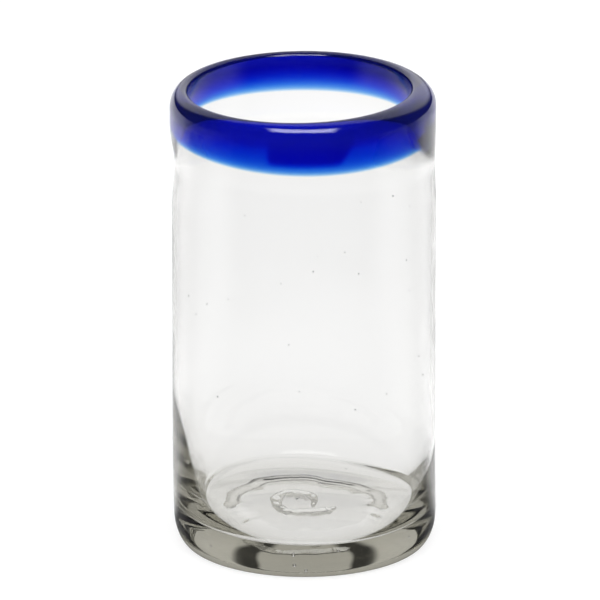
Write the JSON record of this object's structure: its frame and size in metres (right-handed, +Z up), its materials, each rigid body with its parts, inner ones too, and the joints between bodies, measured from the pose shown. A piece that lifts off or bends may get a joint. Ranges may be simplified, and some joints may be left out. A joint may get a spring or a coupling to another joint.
{
  "type": "highball glass",
  "caption": "Hand-blown straight highball glass of clear glass with a thick base, a pushed-up underside and a rounded cobalt-blue lip, for holding a long drink.",
  "frame": {"origin": "on the glass's axis, at the table that its foot ring stands on", "axes": "+Z up along the axis of the glass; +X to the right and -Y towards the viewer of the picture"},
  "size_m": [0.0764, 0.0764, 0.137],
  "materials": {
    "clear_glass": "fire-polished clear recycled glass, faintly olive in thick places",
    "cobalt_glass": "fire-polished cobalt-blue glass"
  },
  "bodies": {
    "root": {"clear_body": "clear_glass", "cobalt_rim": "cobalt_glass", "pontil_scar": "clear_glass"}
  },
  "joints": []
}
